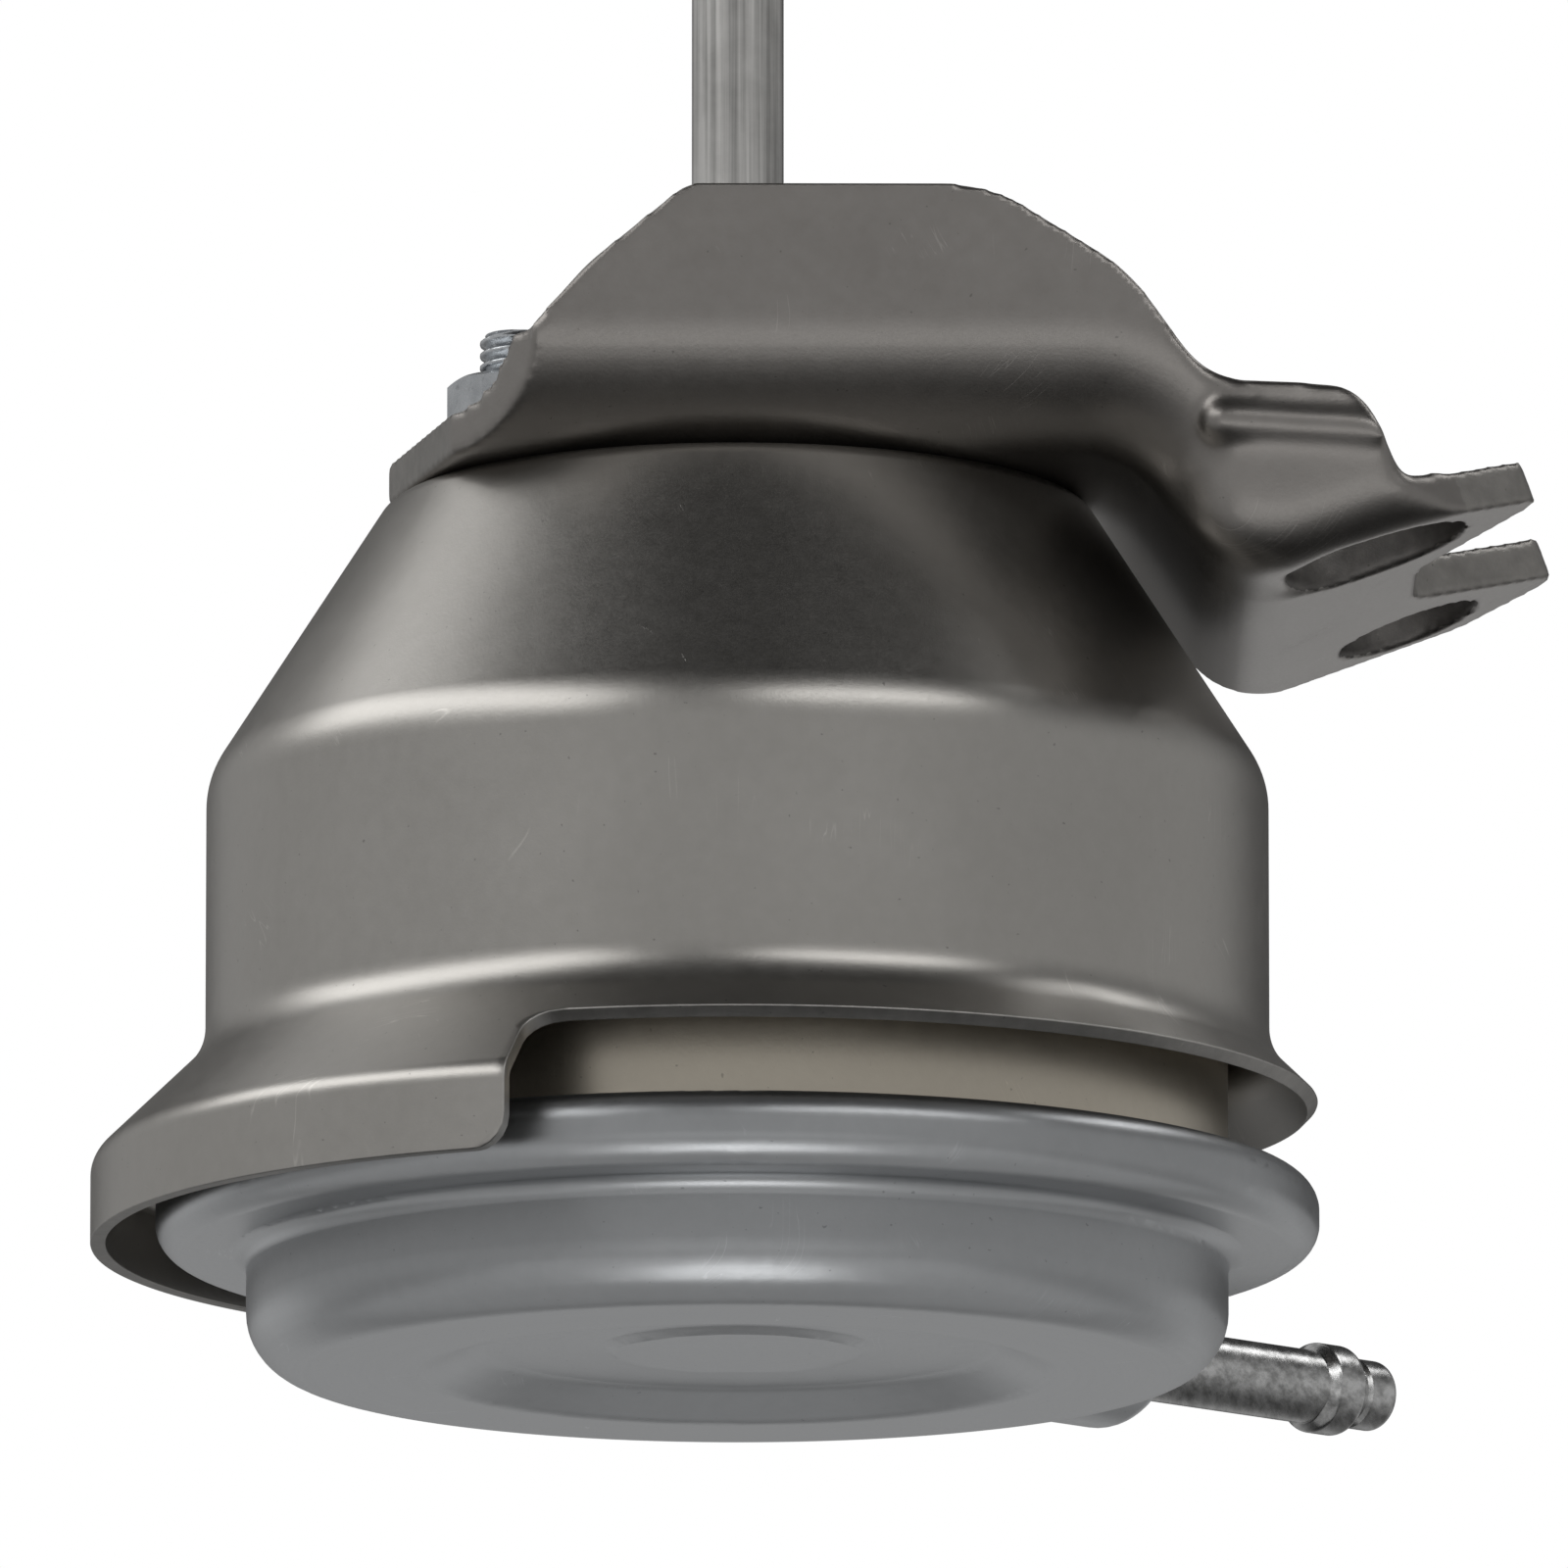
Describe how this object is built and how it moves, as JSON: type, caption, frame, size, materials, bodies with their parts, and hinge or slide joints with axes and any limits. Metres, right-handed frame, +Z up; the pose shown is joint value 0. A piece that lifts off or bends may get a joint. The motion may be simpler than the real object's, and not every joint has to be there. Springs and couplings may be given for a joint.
{
  "type": "boost pressure control valve",
  "caption": "Spring-loaded diaphragm can with heat shield, hose nipple, forked fixing bracket and a sliding actuating rod with an eye.",
  "frame": {"origin": "centre of the flat ring under the lower cover, on the rod's axis", "axes": "+Z up the rod, -Y towards the bracket's tall flange, +X towards the bracket's forked ear"},
  "size_m": [0.0953, 0.0811, 0.13],
  "materials": {
    "shield": "satin, warm grey pressing",
    "can": "satin, gold-grey pressing",
    "cover": "satin, cool grey pressing",
    "bracket": "satin, dark phosphated",
    "bright_steel": "bright, turned",
    "zinc": "zinc plated",
    "inner_steel": "satin",
    "spring_steel": "satin",
    "rod_end": "zinc plated",
    "bronze": "sintered bronze",
    "rubber": "matt"
  },
  "bodies": {
    "housing": {"heat_shield": "shield", "upper_can": "can", "lower_cover": "cover", "hose_nipple": "bright_steel", "bracket": "bracket", "fixing_studs": "zinc", "stud_nuts": "zinc", "diaphragm": "rubber", "return_spring": "spring_steel", "spring_seat": "inner_steel", "guide_housing": "bright_steel", "guide_bush": "bronze", "rod_seal": "rubber", "seal_retainer": "zinc"},
    "rod_assembly": {"rod": "bright_steel", "piston_cup": "inner_steel", "diaphragm_plate": "inner_steel", "cup_washer": "zinc", "piston_nut": "zinc", "lock_nut": "zinc", "rod_end": "rod_end", "eye_bush": "bronze"}
  },
  "joints": [
    {"name": "rod_slide", "type": "slide", "parent": "housing", "child": "rod_assembly", "axis": [0, 0, 1], "range_m": [0, 0.01], "stiffness_N_per_m": 5600, "springref_m": -0.01, "deforming": ["return_spring", "diaphragm"]}
  ]
}
